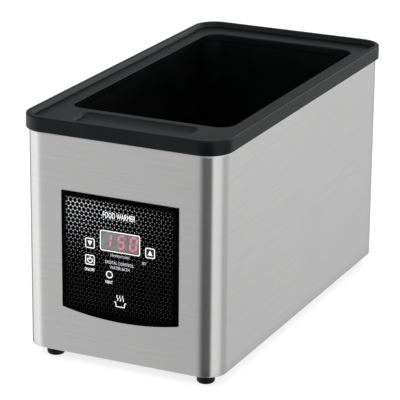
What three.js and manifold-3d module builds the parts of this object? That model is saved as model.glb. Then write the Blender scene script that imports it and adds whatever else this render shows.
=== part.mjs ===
// Countertop food warmer: a heated water well for a one-third-size food pan, in a wrapped steel case.
// Millimetres. +X is the right-hand side seen from the front, -Y is the front with the control panel,
// +Z is up. The origin is on the surface that the feet stand on, under the middle of the rim.

import * as THREE from "three";
import { mergeVertices } from "three/addons/utils/BufferGeometryUtils.js";
import Module from "manifold-3d";

const wasm = await Module();
wasm.setup();

// ---------- driving dimensions ----------

const GAP = 0.3; // left between neighbouring pieces
const CORNER_STEPS = 5; // facets on each quarter turn of a case outline
const ARC_DETAIL = 2; // half the facets on each quarter turn of a small corner
const CIRCLE_SIDES = 10;

// Moulded rim: outer outline, heights and the section of its raised lip
const RIM = { halfX: 101.6, halfY: 198.15, radius: 23.7, centreY: 0 };
const RIM_TOP = 235.2;
const RIM_SKIRT = 13.8;
const RIM_EDGE_ROUND = 1.6;
const LIP_FLAT_INSET = 4.1;
const LIP_FOOT_INSET = 5.8;
const SKIRT_WALL = 2.6;
const LEDGE_DROP = 5; // ledge below the top of the lip
const LEDGE_THICK = 3;

// Opening of the well in the ledge, sized for a one-third-size pan
const OPENING = { halfX: 80.9, halfY: 152.15, radius: 15, centreY: 13.95 };
const OPENING_ROUND = 2.5; // clearance kept round the collar
const MOUTH_ROUND = 1.2; // edge between the ledge and the collar
const COLLAR_WALL = 2.2;
const COLLAR_DROP = 7.6;

// Finger scoop in the front part of the ledge
const SCOOP = { halfX: 58.2, halfY: 16.5, radius: 9, centreY: -163.5 };
const SCOOP_DEPTH = 3;

// Case
const SHELL_INSET = 3;
const SHEET = 0.9;
const SHELL_BOTTOM = 12.5;
const BOTTOM_FLANGE = 11;
const SEAM = 0.4; // slit where the ends of the wrap meet at the back
const BASE_THICK = 1.2;
const BASE_SLOT = { length: 34, width: 3, pitch: 8, count: 4 };

// Feet and screws
const FOOT = { radius: 8.6, x: 77.2, y: 173.7, recess: 3.4, recessDepth: 6, round: 2 };
const SCREW = { shank: 1.5, head: 3, headHeight: 1.8, hole: 1.9 };
const RIM_SCREW_X = 90.6;
const RIM_SCREW_Y = [-90, 118];
const BASE_SCREW_X = 91.5;
const BASE_SCREW_Y = 100;

// Water well: wall, draft and floor
const WELL_WALL = 2;
const WELL_FLOOR = 62;
const WELL_FLOOR_ROUND = 12;
const WELL_DRAFT = 2.5;
const WELL_FLANGE = 10;
const GASKET_THICK = 1;
const INSULATION = 7.7;

// Heating element under the well
const ELEMENT_RADIUS = 3.3;
const ELEMENT_Z = 54;
const SPREADER_THICK = 2;
const SHIELD_TOP = 35.7;
const SHIELD_SHEET = 1;
const PAD_THICK = 8;

// Control panel, in plan on the front face: x and z of each feature
const PANEL = { x: 0.95, halfX: 58.65, top: 169.6, side: 57.9, low: 51.5, thick: 0.6 };
const DISPLAY = { x: 1.7, z: 128.4, width: 38.3, height: 17.6, radius: 1.3 };
const KEYS = { down: [-28.6, 123.6], power: [-28.7, 107.6], up: [31.9, 123.5] };
const KEY = { size: 10, radius: 1.6, proud: 0.3, flange: 12, flangeThick: 0.8, travel: 0.6 };
const PLUNGER_RADIUS = 1.6;
const LAMP = { x: -9.2, z: 96.4, radius: 2.2 };
const BEZEL = { halfX: 44, low: 86, high: 144, radius: 4 };
const HOUSING_WALL = 2;
const HOUSING_BACK = -176;
const BOARD_THICK = 1.6;
const BOARD_FRONT = -183.5;

// Supply inlet at the back
const INLET = { x: -50, z: 40, width: 24.2, height: 16.4, chamfer: 5, depth: 16.2, wall: 1.9 };
const INLET_FLANGE = { width: 50, height: 23, radius: 6, thick: 2.2, screwX: 20, bore: 3.4, boreDepth: 1.2 };
const PIN = { wide: 2, high: 4, pitch: 7, offset: 2, length: 20, recess: 6 };

// ---------- places worked out from the dimensions ----------

const LEDGE = RIM_TOP - LEDGE_DROP;
const LEDGE_UNDER = LEDGE - LEDGE_THICK;
const SHELL = {
  halfX: RIM.halfX - SHELL_INSET,
  halfY: RIM.halfY - SHELL_INSET,
  radius: RIM.radius - SHELL_INSET,
  centreY: 0,
};
const FACE = -SHELL.halfY; // outer face of the front wall
const BACK = SHELL.halfY;
const BASE_LOW = SHELL_BOTTOM + SHEET + GAP;
const BASE_TOP = BASE_LOW + BASE_THICK;
const WELL_TOP = LEDGE_UNDER - GASKET_THICK - 2 * GAP;
const TAB_TOP = WELL_TOP - WELL_WALL - GAP;
const TAB_THICK = 1.2;
const SPREADER_TOP = WELL_FLOOR - WELL_WALL - GAP;
const BEZEL_Z = (BEZEL.low + BEZEL.high) / 2;
const BEZEL_HEIGHT = BEZEL.high - BEZEL.low;
const OVERLAY_BACK = FACE - GAP;
const OVERLAY_FRONT = OVERLAY_BACK - PANEL.thick;
const KEY_FRONT = OVERLAY_FRONT - KEY.proud;
const KEY_BACK = FACE + KEY.flangeThick;
const POCKET_FLOOR = KEY_BACK + KEY.travel + GAP;
const SWITCH_DEPTH = 3.5;
const SWITCH_FRONT = BOARD_FRONT - GAP - SWITCH_DEPTH;
const PLUNGER_END = SWITCH_FRONT - KEY.travel - GAP;
const INLET_FACE = BACK + GAP + INLET_FLANGE.thick;
const INLET_FLOOR = INLET_FACE - INLET.depth;

const FINISHES = {
  charcoalPlastic: { color: 0x2f3335, roughness: 0.5, metalness: 0 },
  blackPlastic: { color: 0x151617, roughness: 0.45, metalness: 0 },
  brushedSteel: { color: 0xb9babb, roughness: 0.34, metalness: 1 },
  plainSteel: { color: 0x9a9c9e, roughness: 0.5, metalness: 1 },
  blackCoating: { color: 0x0c0d0d, roughness: 0.35, metalness: 0.2 },
  aluminium: { color: 0xb4b6b8, roughness: 0.4, metalness: 1 },
  rubber: { color: 0x121212, roughness: 0.8, metalness: 0 },
  silicone: { color: 0xa8452f, roughness: 0.7, metalness: 0 },
  glassWool: { color: 0xd9d4c2, roughness: 1, metalness: 0 },
  printedFilm: { color: 0x101112, roughness: 0.3, metalness: 0 },
  smokedLens: { color: 0x6d7173, roughness: 0.15, metalness: 0 },
  board: { color: 0x1d5a36, roughness: 0.5, metalness: 0 },
  redLead: { color: 0x9c2a22, roughness: 0.5, metalness: 0 },
  whiteLead: { color: 0xd8d8d4, roughness: 0.5, metalness: 0 },
  greenLead: { color: 0x3c7d3a, roughness: 0.5, metalness: 0 },
  blackLead: { color: 0x1a1a1a, roughness: 0.5, metalness: 0 },
  brass: { color: 0xb08d4a, roughness: 0.35, metalness: 1 },
};

// ---------- solids ----------

// Closed geometry to a solid that can be cut and joined.
function solid(geometry) {
  const plain = new THREE.BufferGeometry();
  plain.setAttribute("position", geometry.getAttribute("position"));
  plain.setIndex(geometry.index);
  const merged = mergeVertices(plain, 1e-4);
  const mesh = new wasm.Mesh({
    numProp: 3,
    vertProperties: merged.getAttribute("position").array,
    triVerts: new Uint32Array(merged.index.array),
  });
  return new wasm.Manifold(mesh);
}

function geometryOf(manifold) {
  const { vertProperties, triVerts } = manifold.getMesh();
  const geometry = new THREE.BufferGeometry();
  geometry.setAttribute("position", new THREE.BufferAttribute(vertProperties, 3));
  geometry.setIndex(new THREE.BufferAttribute(triVerts, 1));
  return geometry;
}

const joined = (...solids) => solids.reduce((sum, next) => sum.add(next));
const without = (body, ...cutters) => cutters.reduce((rest, cutter) => rest.subtract(cutter), body);

// Rounded rectangle of a base outline moved outwards by outset, counter-clockwise seen from above.
function outline(base, outset) {
  const radius = base.radius + outset;
  const points = [];
  for (let corner = 0; corner < 4; corner++) {
    const x = (corner % 3 === 0 ? 1 : -1) * (base.halfX - base.radius);
    const y = (corner < 2 ? 1 : -1) * (base.halfY - base.radius) + base.centreY;
    for (let step = 0; step <= CORNER_STEPS; step++) {
      const turn = (corner + step / CORNER_STEPS) * (Math.PI / 2);
      points.push([x + radius * Math.cos(turn), y + radius * Math.sin(turn)]);
    }
  }
  return points;
}

// Skin through a stack of outlines, one for each [outset, z] level. A ring joins its last level to its
// first; any other stack is closed by flat caps. Levels run up the outside and down the inside.
function stacked(base, levels, isRing) {
  const positions = [];
  const faces = [];
  for (const [outset, z] of levels) {
    for (const [x, y] of outline(base, outset)) positions.push(x, y, z);
  }
  const count = positions.length / 3 / levels.length;
  const bands = isRing ? levels.length : levels.length - 1;
  for (let band = 0; band < bands; band++) {
    const low = band * count;
    const high = ((band + 1) % levels.length) * count;
    for (let i = 0; i < count; i++) {
      const next = (i + 1) % count;
      faces.push(low + i, low + next, high + next, low + i, high + next, high + i);
    }
  }
  if (!isRing) {
    const last = (levels.length - 1) * count;
    for (let i = 1; i < count - 1; i++) {
      faces.push(0, i + 1, i, last, last + i, last + i + 1);
    }
  }
  const geometry = new THREE.BufferGeometry();
  geometry.setAttribute("position", new THREE.Float32BufferAttribute(positions, 3));
  geometry.setIndex(faces);
  return geometry;
}

const ring = (base, section) => stacked(base, section, true);
const layered = (base, levels) => stacked(base, levels, false);

// Points of a quarter round from one angle to another, in degrees, as [outset, z] pairs.
function quarter(centreOutset, centreZ, radius, fromDegrees, toDegrees, steps) {
  const points = [];
  for (let i = 0; i <= steps; i++) {
    const angle = THREE.MathUtils.degToRad(fromDegrees + ((toDegrees - fromDegrees) * i) / steps);
    points.push([centreOutset + radius * Math.cos(angle), centreZ + radius * Math.sin(angle)]);
  }
  return points;
}

// Profile of [radius, z] points turned about the Z axis.
function turned(profile, steps) {
  const points = profile.map(([radius, z]) => new THREE.Vector2(radius, z));
  return new THREE.LatheGeometry(points, steps).rotateX(Math.PI / 2);
}

// Rounded rectangle as a shape or, for a hole, as a path.
function roundedRectangle(x, y, width, height, radius, kind = THREE.Shape) {
  const path = new kind();
  const right = x + width / 2 - radius;
  const left = x - width / 2 + radius;
  const high = y + height / 2 - radius;
  const low = y - height / 2 + radius;
  path.absarc(right, high, radius, 0, Math.PI / 2);
  path.absarc(left, high, radius, Math.PI / 2, Math.PI);
  path.absarc(left, low, radius, Math.PI, Math.PI * 1.5);
  path.absarc(right, low, radius, Math.PI * 1.5, Math.PI * 2);
  return path;
}

// Regular polygon with its corners on a circle, as a shape or, for a hole, as a path.
function circle(x, y, radius, kind = THREE.Shape, sides = CIRCLE_SIDES) {
  const corners = [];
  for (let i = 0; i < sides; i++) {
    const angle = (i / sides) * Math.PI * 2;
    corners.push(new THREE.Vector2(x + radius * Math.cos(angle), y + radius * Math.sin(angle)));
  }
  return new kind(corners);
}

function extruded(shape, depth, curveSegments = ARC_DETAIL) {
  return new THREE.ExtrudeGeometry(shape, { depth, bevelEnabled: false, curveSegments });
}

// Shape drawn in x and y, as a plate from one height to another.
function level(shape, low, high) {
  return extruded(shape, high - low).translate(0, 0, low);
}

// Shape drawn in x and z as seen from the front, as an upright plate from a front y to a back y.
function upright(shape, front, back) {
  return extruded(shape, back - front).rotateX(Math.PI / 2).translate(0, back, 0);
}

// Shape drawn in y and z, pulled along x.
function across(shape, left, right) {
  const geometry = extruded(shape, right - left, 5);
  geometry.rotateX(Math.PI / 2).rotateZ(Math.PI / 2);
  return geometry.translate(left, 0, 0);
}

const box = (width, depth, height) => new THREE.BoxGeometry(width, depth, height);
const uprightPin = (x, z, radius, front, back) => upright(circle(x, z, radius), front, back);
const post = (x, y, radius, low, high) => level(circle(x, y, radius), low, high);

// Straight runs between points, with each corner rounded to a radius and turned in a few steps.
class BentRun extends THREE.Curve {
  constructor(corners, radius, steps = 3) {
    super();
    const at = corners.map(([x, y, z]) => new THREE.Vector3(x, y, z));
    this.points = [at[0]];
    for (let i = 1; i < at.length - 1; i++) {
      const start = at[i - 1].clone().sub(at[i]).setLength(radius).add(at[i]);
      const end = at[i + 1].clone().sub(at[i]).setLength(radius).add(at[i]);
      const bend = new THREE.QuadraticBezierCurve3(start, at[i], end);
      this.points.push(...bend.getPoints(steps));
    }
    this.points.push(at[at.length - 1]);
  }

  getUtoTmapping(u) {
    return u;
  }

  getPoint(t) {
    const place = t * (this.points.length - 1);
    const index = Math.min(Math.floor(place), this.points.length - 2);
    return this.points[index].clone().lerp(this.points[index + 1], place - index);
  }

  getTangent(t) {
    const index = Math.round(t * (this.points.length - 1));
    const here = this.points[index];
    const before = this.points[Math.max(index - 1, 0)];
    const after = this.points[Math.min(index + 1, this.points.length - 1)];
    const arriving = here.clone().sub(before).normalize();
    const leaving = after.clone().sub(here).normalize();
    return arriving.add(leaving).normalize();
  }
}

function bentTube(corners, radius, bendRadius, sides) {
  const extrudePath = new BentRun(corners, bendRadius);
  const section = circle(0, 0, radius, THREE.Shape, sides);
  return new THREE.ExtrudeGeometry(section, { steps: extrudePath.points.length - 1, extrudePath });
}

function add(group, name, geometry, finish) {
  const mesh = new THREE.Mesh(geometry, new THREE.MeshStandardMaterial(FINISHES[finish]));
  mesh.name = name;
  group.add(mesh);
  return mesh;
}

// Pan-head screw with its head's seat at height 0 and its shank pointing up.
function screw(length, head = SCREW.head, headHeight = SCREW.headHeight) {
  const profile = [
    [0, -headHeight],
    [head * 0.7, -headHeight],
    [head, -headHeight * 0.4],
    [head, 0],
    [SCREW.shank, 0],
    [SCREW.shank, length],
    [0, length],
  ];
  return turned(profile, 8);
}

const SIDES = [
  ["left", -1],
  ["right", 1],
];
const ENDS = [
  ["front", -1],
  ["rear", 1],
];
const CORNERS = ENDS.flatMap(([end, signY]) =>
  SIDES.map(([side, signX]) => ({ name: `${end}_${side}`, signX, signY })),
);

// ---------- rim ----------

// Raised lip and skirt, the ledge that the pan's flange rests on, the collar that drops into the well,
// and the finger scoop with its thicker floor.
function makeRim() {
  const flat = -LIP_FLAT_INSET;
  const foot = -LIP_FOOT_INSET;
  const lip = ring(RIM, [
    [-SKIRT_WALL, RIM_TOP - RIM_SKIRT],
    [-0.5, RIM_TOP - RIM_SKIRT],
    [0, RIM_TOP - RIM_SKIRT + 0.5],
    ...quarter(-RIM_EDGE_ROUND, RIM_TOP - RIM_EDGE_ROUND, RIM_EDGE_ROUND, 0, 90, 3),
    [flat + 0.5, RIM_TOP],
    [flat, RIM_TOP - 0.4],
    [foot + 0.3, LEDGE + 0.4],
    [foot - 0.4, LEDGE],
    [foot - 3, LEDGE],
    [foot - 3, LEDGE_UNDER],
    [-SKIRT_WALL, LEDGE_UNDER],
  ]);
  const ledgeShape = roundedRectangle(0, 0, 2 * (RIM.halfX - 7), 2 * (RIM.halfY - 7), RIM.radius - 7);
  const holeX = 2 * (OPENING.halfX + OPENING_ROUND + 0.3);
  const holeY = 2 * (OPENING.halfY + OPENING_ROUND + 0.3);
  const holeRadius = OPENING.radius + OPENING_ROUND + 0.3;
  ledgeShape.holes.push(
    roundedRectangle(0, OPENING.centreY, holeX, holeY, holeRadius, THREE.Path),
  );
  const collarSection = [
    [0, LEDGE - COLLAR_DROP],
    [COLLAR_WALL, LEDGE - COLLAR_DROP],
    [COLLAR_WALL, LEDGE_UNDER],
    [OPENING_ROUND + 1, LEDGE_UNDER],
    [OPENING_ROUND + 1, LEDGE],
    ...quarter(MOUTH_ROUND, LEDGE - MOUTH_ROUND, MOUTH_ROUND, 90, 180, 3),
  ];
  const panLow = LEDGE_UNDER - GASKET_THICK - GAP;
  const pan = box(2 * SCOOP.halfX + 8, 2 * SCOOP.halfY + 2, LEDGE - 1 - panLow);
  pan.translate(0, SCOOP.centreY, (LEDGE - 1 + panLow) / 2);
  const troughRadius = (SCOOP.halfY ** 2 + SCOOP_DEPTH ** 2) / (2 * SCOOP_DEPTH);
  const troughZ = LEDGE - SCOOP_DEPTH + troughRadius;
  const sweep = Math.asin(SCOOP.halfY / troughRadius);
  const trough = new THREE.Shape();
  trough.absarc(SCOOP.centreY, troughZ, troughRadius, -Math.PI / 2 - sweep, -Math.PI / 2 + sweep);
  trough.lineTo(SCOOP.centreY + SCOOP.halfY, LEDGE + 2);
  trough.lineTo(SCOOP.centreY - SCOOP.halfY, LEDGE + 2);
  const pocket = layered(SCOOP, [
    [0, LEDGE - SCOOP_DEPTH - 1],
    [0, LEDGE + 1],
  ]);
  const scoop = solid(across(trough, -SCOOP.halfX - 1, SCOOP.halfX + 1)).intersect(solid(pocket));
  const bores = RIM_SCREW_Y.flatMap((y) =>
    SIDES.map(([, sign]) => solid(post(sign * RIM_SCREW_X, y, SCREW.hole, LEDGE_UNDER - 1, LEDGE - 1.2))),
  );
  const body = joined(
    solid(lip),
    solid(level(ledgeShape, LEDGE_UNDER, LEDGE)),
    solid(ring(OPENING, collarSection)),
    solid(pan),
  );
  return geometryOf(without(body, scoop, ...bores));
}

// ---------- case ----------

// One sheet wrapped round the case, its ends meeting in a seam at the back, with a flange turned in at
// the bottom, four welded tabs under the rim, the control window and the inlet's cut-outs.
function makeShroud() {
  const wrap = ring(SHELL, [
    [0, SHELL_BOTTOM],
    [0, LEDGE_UNDER - GAP],
    [-SHEET, LEDGE_UNDER - GAP],
    [-SHEET, SHELL_BOTTOM + SHEET],
    [-SHEET - BOTTOM_FLANGE, SHELL_BOTTOM + SHEET],
    [-SHEET - BOTTOM_FLANGE, SHELL_BOTTOM],
  ]);
  const tabs = [];
  const holes = [];
  for (const y of RIM_SCREW_Y) {
    for (const [, sign] of SIDES) {
      const inner = OPENING.halfX + OPENING_ROUND + WELL_WALL + 1.5;
      const width = SHELL.halfX - SHEET / 2 - inner;
      const tab = box(width, 20, TAB_THICK);
      tab.translate(sign * (inner + width / 2), y, TAB_TOP - TAB_THICK / 2);
      tabs.push(solid(tab));
      holes.push(solid(post(sign * RIM_SCREW_X, y, SCREW.hole, TAB_TOP - 3, TAB_TOP + 1)));
    }
  }
  for (const sign of [-1, 1]) {
    for (const end of [-1, 1]) {
      const y = end * BASE_SCREW_Y;
      holes.push(solid(post(sign * BASE_SCREW_X, y, SCREW.hole, SHELL_BOTTOM - 1, SHELL_BOTTOM + 2)));
    }
    const x = INLET.x + sign * INLET_FLANGE.screwX;
    holes.push(solid(uprightPin(x, INLET.z, SCREW.hole, BACK - 2, BACK + 1)));
  }
  const window = roundedRectangle(0, BEZEL_Z, 2 * BEZEL.halfX + 0.8, BEZEL_HEIGHT + 0.8, BEZEL.radius + 0.4);
  const inletWidth = INLET.width + 2 * INLET.wall + 1;
  const inletHeight = INLET.height + 2 * INLET.wall + 1;
  const inletHole = roundedRectangle(INLET.x, INLET.z, inletWidth, inletHeight, 1.5);
  const seam = box(SEAM, BOTTOM_FLANGE + 6, 260);
  seam.translate(0, BACK - BOTTOM_FLANGE / 2, 130);
  return geometryOf(
    without(
      joined(solid(wrap), ...tabs),
      ...holes,
      solid(upright(window, FACE - 1, FACE + 2)),
      solid(upright(inletHole, BACK - 2, BACK + 1)),
      solid(seam),
    ),
  );
}

// Plate that closes the case from below, resting on the shroud's flange, with cooling slots.
function makeBase() {
  const inset = SHEET + GAP;
  const plate = new THREE.Shape(outline(SHELL, -inset).map(([x, y]) => new THREE.Vector2(x, y)));
  for (const { signX, signY } of CORNERS) {
    plate.holes.push(circle(signX * FOOT.x, signY * FOOT.y, SCREW.hole, THREE.Path));
    plate.holes.push(circle(signX * BASE_SCREW_X, signY * BASE_SCREW_Y, SCREW.hole, THREE.Path));
  }
  for (const rowY of [-155, 170]) {
    for (let i = 0; i < BASE_SLOT.count; i++) {
      for (const x of [-24, 24]) {
        const y = rowY + (i - (BASE_SLOT.count - 1) / 2) * BASE_SLOT.pitch;
        const { length, width } = BASE_SLOT;
        plate.holes.push(roundedRectangle(x, y, length, width, width * 0.4, THREE.Path));
      }
    }
  }
  return extruded(plate, BASE_THICK, 1);
}

// Rubber foot with a recess for its screw's head.
function makeFoot() {
  const top = BASE_LOW - GAP;
  const { radius, recess, recessDepth, round } = FOOT;
  const lowRadius = radius - 0.5;
  return turned(
    [
      [recess, 0],
      ...quarter(lowRadius - round, round, round, -90, 0, 2),
      [radius, top - 3],
      [radius, top],
      [SCREW.hole, top],
      [SCREW.hole, recessDepth],
      [recess, recessDepth],
      [recess, 0],
    ],
    12,
  );
}

const seamStripLow = BASE_TOP + GAP;

const caseGroup = new THREE.Group();
add(caseGroup, "top_rim", makeRim(), "charcoalPlastic");
add(caseGroup, "outer_shroud", makeShroud(), "brushedSteel");
add(caseGroup, "base_plate", makeBase(), "plainSteel").position.z = BASE_LOW;
const strip = add(caseGroup, "seam_strip", box(22, 1, TAB_TOP - 6 - seamStripLow), "plainSteel");
strip.position.set(0, BACK - SHEET - GAP - 0.5, (TAB_TOP - 6 + seamStripLow) / 2);

for (const { name, signX, signY } of CORNERS) {
  const corner = new THREE.Group();
  corner.position.set(signX * FOOT.x, signY * FOOT.y, 0);
  add(corner, `foot_${name}`, makeFoot(), "rubber");
  const footScrew = add(corner, `foot_screw_${name}`, screw(BASE_TOP + 2.5 - FOOT.recessDepth), "plainSteel");
  footScrew.position.z = FOOT.recessDepth - GAP;
  caseGroup.add(corner);
  const baseScrew = add(caseGroup, `base_screw_${name}`, screw(4.5), "plainSteel");
  baseScrew.position.set(signX * BASE_SCREW_X, signY * BASE_SCREW_Y, SHELL_BOTTOM - GAP);
  const rimScrewLength = LEDGE - 1.6 - TAB_TOP + TAB_THICK;
  const rimScrew = add(caseGroup, `rim_screw_${name}`, screw(rimScrewLength), "plainSteel");
  const rimScrewY = RIM_SCREW_Y[signY < 0 ? 0 : 1];
  rimScrew.position.set(signX * RIM_SCREW_X, rimScrewY, TAB_TOP - TAB_THICK - GAP);
}

// ---------- well and heating ----------

// Drawn pan with a drafted wall, a round-edged floor and a flange that carries it on the shroud's tabs.
function makeWell() {
  const clear = OPENING_ROUND; // the rim's collar hangs inside the wall
  const floorEdge = clear - WELL_DRAFT;
  const roundOuter = WELL_FLOOR_ROUND + WELL_WALL;
  const cup = layered(OPENING, [
    ...quarter(floorEdge - WELL_FLOOR_ROUND, WELL_FLOOR + WELL_FLOOR_ROUND, roundOuter, -90, 0, 3),
    [clear + WELL_WALL, WELL_TOP - WELL_WALL],
    [clear + WELL_WALL + WELL_FLANGE, WELL_TOP - WELL_WALL],
    [clear + WELL_WALL + WELL_FLANGE, WELL_TOP],
    [clear, WELL_TOP],
    ...quarter(floorEdge - WELL_FLOOR_ROUND, WELL_FLOOR + WELL_FLOOR_ROUND, WELL_FLOOR_ROUND, 0, -90, 3),
  ]);
  const holes = RIM_SCREW_Y.flatMap((y) =>
    SIDES.map(([, sign]) => solid(post(sign * RIM_SCREW_X, y, SCREW.hole, WELL_TOP - 4, WELL_TOP + 1))),
  );
  return geometryOf(without(solid(cup), ...holes));
}

function makeGasket() {
  const inner = OPENING_ROUND + 0.8;
  return ring(OPENING, [
    [inner + 4, WELL_TOP + GAP],
    [inner + 4, WELL_TOP + GAP + GASKET_THICK],
    [inner, WELL_TOP + GAP + GASKET_THICK],
    [inner, WELL_TOP + GAP],
  ]);
}

function makeInsulationWrap() {
  const inner = OPENING_ROUND + WELL_WALL + GAP;
  const low = WELL_FLOOR + 10;
  const high = TAB_TOP - 4.2;
  return ring(OPENING, [
    [inner + INSULATION, low],
    [inner + INSULATION, high],
    [inner, high],
    [inner, low],
  ]);
}

// Folded sheet that stands on the base plate and carries the insulation under the element.
function makeShield() {
  const [legX, footX] = [70, 82];
  const low = BASE_TOP + GAP;
  const sheet = new THREE.Shape();
  sheet.moveTo(-footX, low);
  sheet.lineTo(-legX, low);
  sheet.lineTo(-legX, SHIELD_TOP - SHIELD_SHEET);
  sheet.lineTo(legX, SHIELD_TOP - SHIELD_SHEET);
  sheet.lineTo(legX, low);
  sheet.lineTo(footX, low);
  sheet.lineTo(footX, low + SHIELD_SHEET);
  sheet.lineTo(legX + SHIELD_SHEET, low + SHIELD_SHEET);
  sheet.lineTo(legX + SHIELD_SHEET, SHIELD_TOP);
  sheet.lineTo(-legX - SHIELD_SHEET, SHIELD_TOP);
  sheet.lineTo(-legX - SHIELD_SHEET, low + SHIELD_SHEET);
  sheet.lineTo(-footX, low + SHIELD_SHEET);
  return upright(sheet, -128, 156);
}

// Serpentine of sheathed element with both ends brought out to the front.
const ELEMENT_END = [12, -148];
function makeElement() {
  const right = [
    [18, -60],
    [18, 138],
    [54, 138],
    [54, -100],
    [12, -100],
    ELEMENT_END,
  ];
  const left = right.map(([x, y]) => [-x, y]).reverse();
  const corners = [...left, ...right].map(([x, y]) => [x, y, ELEMENT_Z]);
  return bentTube(corners, ELEMENT_RADIUS, 13, 8);
}

const heating = new THREE.Group();
add(heating, "water_well", makeWell(), "blackCoating");
add(heating, "well_gasket", makeGasket(), "silicone");
add(heating, "insulation_wrap", makeInsulationWrap(), "glassWool");
add(heating, "heating_element", makeElement(), "plainSteel");
const spreaderShape = roundedRectangle(0, OPENING.centreY, 140, 278, 10);
spreaderShape.holes.push(circle(0, OPENING.centreY, 2.8, THREE.Path));
const spreader = level(spreaderShape, SPREADER_TOP - SPREADER_THICK, SPREADER_TOP);
add(heating, "heat_spreader_plate", spreader, "aluminium");
add(heating, "heat_shield", makeShield(), "plainSteel");
const padShape = roundedRectangle(0, OPENING.centreY, 156, 284, 6);
const pad = level(padShape, SHIELD_TOP + GAP, SHIELD_TOP + GAP + PAD_THICK);
add(heating, "insulation_pad", pad, "glassWool");
const probeLow = SHIELD_TOP + PAD_THICK + 4;
const probe = add(heating, "temperature_probe", post(0, 0, 2.4, probeLow, SPREADER_TOP), "plainSteel");
probe.position.y = OPENING.centreY;
const limiterTop = SPREADER_TOP - SPREADER_THICK - GAP;
const limiter = add(heating, "high_limit_thermostat", turned(
  [
    [0, 0],
    [8, 0],
    [8, 6],
    [5.5, 6],
    [5.5, 9],
    [0, 9],
  ],
  14,
), "blackPlastic");
limiter.rotation.x = Math.PI;
limiter.position.set(36, 40, limiterTop);

// ---------- controls ----------

// Printed film on the front: straight top and sides, bottom edge bowed down, openings for the display,
// the keys and the lamp.
function makeOverlay() {
  const bow = PANEL.side - PANEL.low;
  const radius = (PANEL.halfX ** 2 + bow ** 2) / (2 * bow);
  const sweep = Math.asin(PANEL.halfX / radius);
  const film = new THREE.Shape();
  film.moveTo(PANEL.x + PANEL.halfX, PANEL.top);
  film.lineTo(PANEL.x - PANEL.halfX, PANEL.top);
  film.absarc(PANEL.x, PANEL.low + radius, radius, -Math.PI / 2 - sweep, -Math.PI / 2);
  film.absarc(PANEL.x, PANEL.low + radius, radius, -Math.PI / 2, -Math.PI / 2 + sweep);
  film.holes.push(
    roundedRectangle(DISPLAY.x, DISPLAY.z, DISPLAY.width, DISPLAY.height, DISPLAY.radius, THREE.Path),
    circle(LAMP.x, LAMP.z, LAMP.radius + GAP, THREE.Path),
  );
  for (const [x, z] of Object.values(KEYS)) {
    const hole = KEY.size + 2 * GAP;
    film.holes.push(roundedRectangle(x, z, hole, hole, KEY.radius + GAP, THREE.Path));
  }
  return upright(film, OVERLAY_FRONT, OVERLAY_BACK);
}

// Moulded tray behind the window: its bezel fills the cut-out flush with the steel, pockets guide the
// keys' flanges, and the walls hold the board.
function makeHousing() {
  const backOfPlate = FACE + 3.2;
  const flange = FACE + SHEET + GAP;
  const wide = 2 * BEZEL.halfX;
  const outerWalls = roundedRectangle(0, BEZEL_Z, wide + 8, BEZEL_HEIGHT + 8, 5);
  const innerWidth = wide + 8 - 2 * HOUSING_WALL;
  const innerHeight = BEZEL_HEIGHT + 8 - 2 * HOUSING_WALL;
  outerWalls.holes.push(roundedRectangle(0, BEZEL_Z, innerWidth, innerHeight, 3, THREE.Path));
  const bezel = roundedRectangle(0, BEZEL_Z, wide, BEZEL_HEIGHT, BEZEL.radius);
  const plate = roundedRectangle(0, BEZEL_Z, wide + 10, BEZEL_HEIGHT + 10, 6);
  const display = roundedRectangle(DISPLAY.x, DISPLAY.z, DISPLAY.width, DISPLAY.height, DISPLAY.radius);
  const cutters = [
    solid(upright(display, FACE - 1, backOfPlate + 1)),
    solid(uprightPin(LAMP.x, LAMP.z, LAMP.radius + GAP, FACE - 1, backOfPlate + 1)),
  ];
  for (const [x, z] of Object.values(KEYS)) {
    const pocket = KEY.flange + 2 * GAP;
    cutters.push(solid(upright(roundedRectangle(x, z, pocket, pocket, 2), FACE - 1, POCKET_FLOOR)));
    cutters.push(solid(uprightPin(x, z, PLUNGER_RADIUS + 0.4, FACE - 1, backOfPlate + 1)));
  }
  const body = joined(
    solid(upright(bezel, FACE, backOfPlate)),
    solid(upright(plate, flange, backOfPlate)),
    solid(upright(outerWalls, backOfPlate - 1, HOUSING_BACK)),
  );
  return geometryOf(without(body, ...cutters));
}

function makeKeyCap() {
  const cap = roundedRectangle(0, 0, KEY.size, KEY.size, KEY.radius);
  const flange = roundedRectangle(0, 0, KEY.flange, KEY.flange, 1.8);
  return geometryOf(
    joined(solid(upright(cap, KEY_FRONT, KEY_BACK)), solid(upright(flange, FACE, KEY_BACK))),
  );
}

const controls = new THREE.Group();
add(controls, "control_overlay", makeOverlay(), "printedFilm");
add(controls, "control_housing", makeHousing(), "blackPlastic");
const boardWidth = 2 * BEZEL.halfX + 8 - 2 * HOUSING_WALL - 0.8;
const boardHeight = BEZEL_HEIGHT + 8 - 2 * HOUSING_WALL - 0.8;
const boardShape = roundedRectangle(0, BEZEL_Z, boardWidth, boardHeight, 3);
add(controls, "control_board", upright(boardShape, BOARD_FRONT, BOARD_FRONT + BOARD_THICK), "board");
const windowWidth = DISPLAY.width - 2 * GAP;
const windowHeight = DISPLAY.height - 2 * GAP;
const lens = roundedRectangle(DISPLAY.x, DISPLAY.z, windowWidth, windowHeight, DISPLAY.radius - GAP);
add(controls, "display_window", upright(lens, OVERLAY_FRONT + GAP, FACE + 0.6), "smokedLens");
const moduleFront = FACE + 0.6 + 0.5;
const moduleBack = BOARD_FRONT - GAP;
const module7 = add(controls, "display_module", box(35.6, moduleBack - moduleFront, 15), "blackPlastic");
module7.position.set(DISPLAY.x, (moduleFront + moduleBack) / 2, DISPLAY.z);
const lampLens = uprightPin(LAMP.x, LAMP.z, LAMP.radius, OVERLAY_FRONT + 0.1, moduleBack);
add(controls, "heat_indicator_lens", lampLens, "smokedLens");

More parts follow.
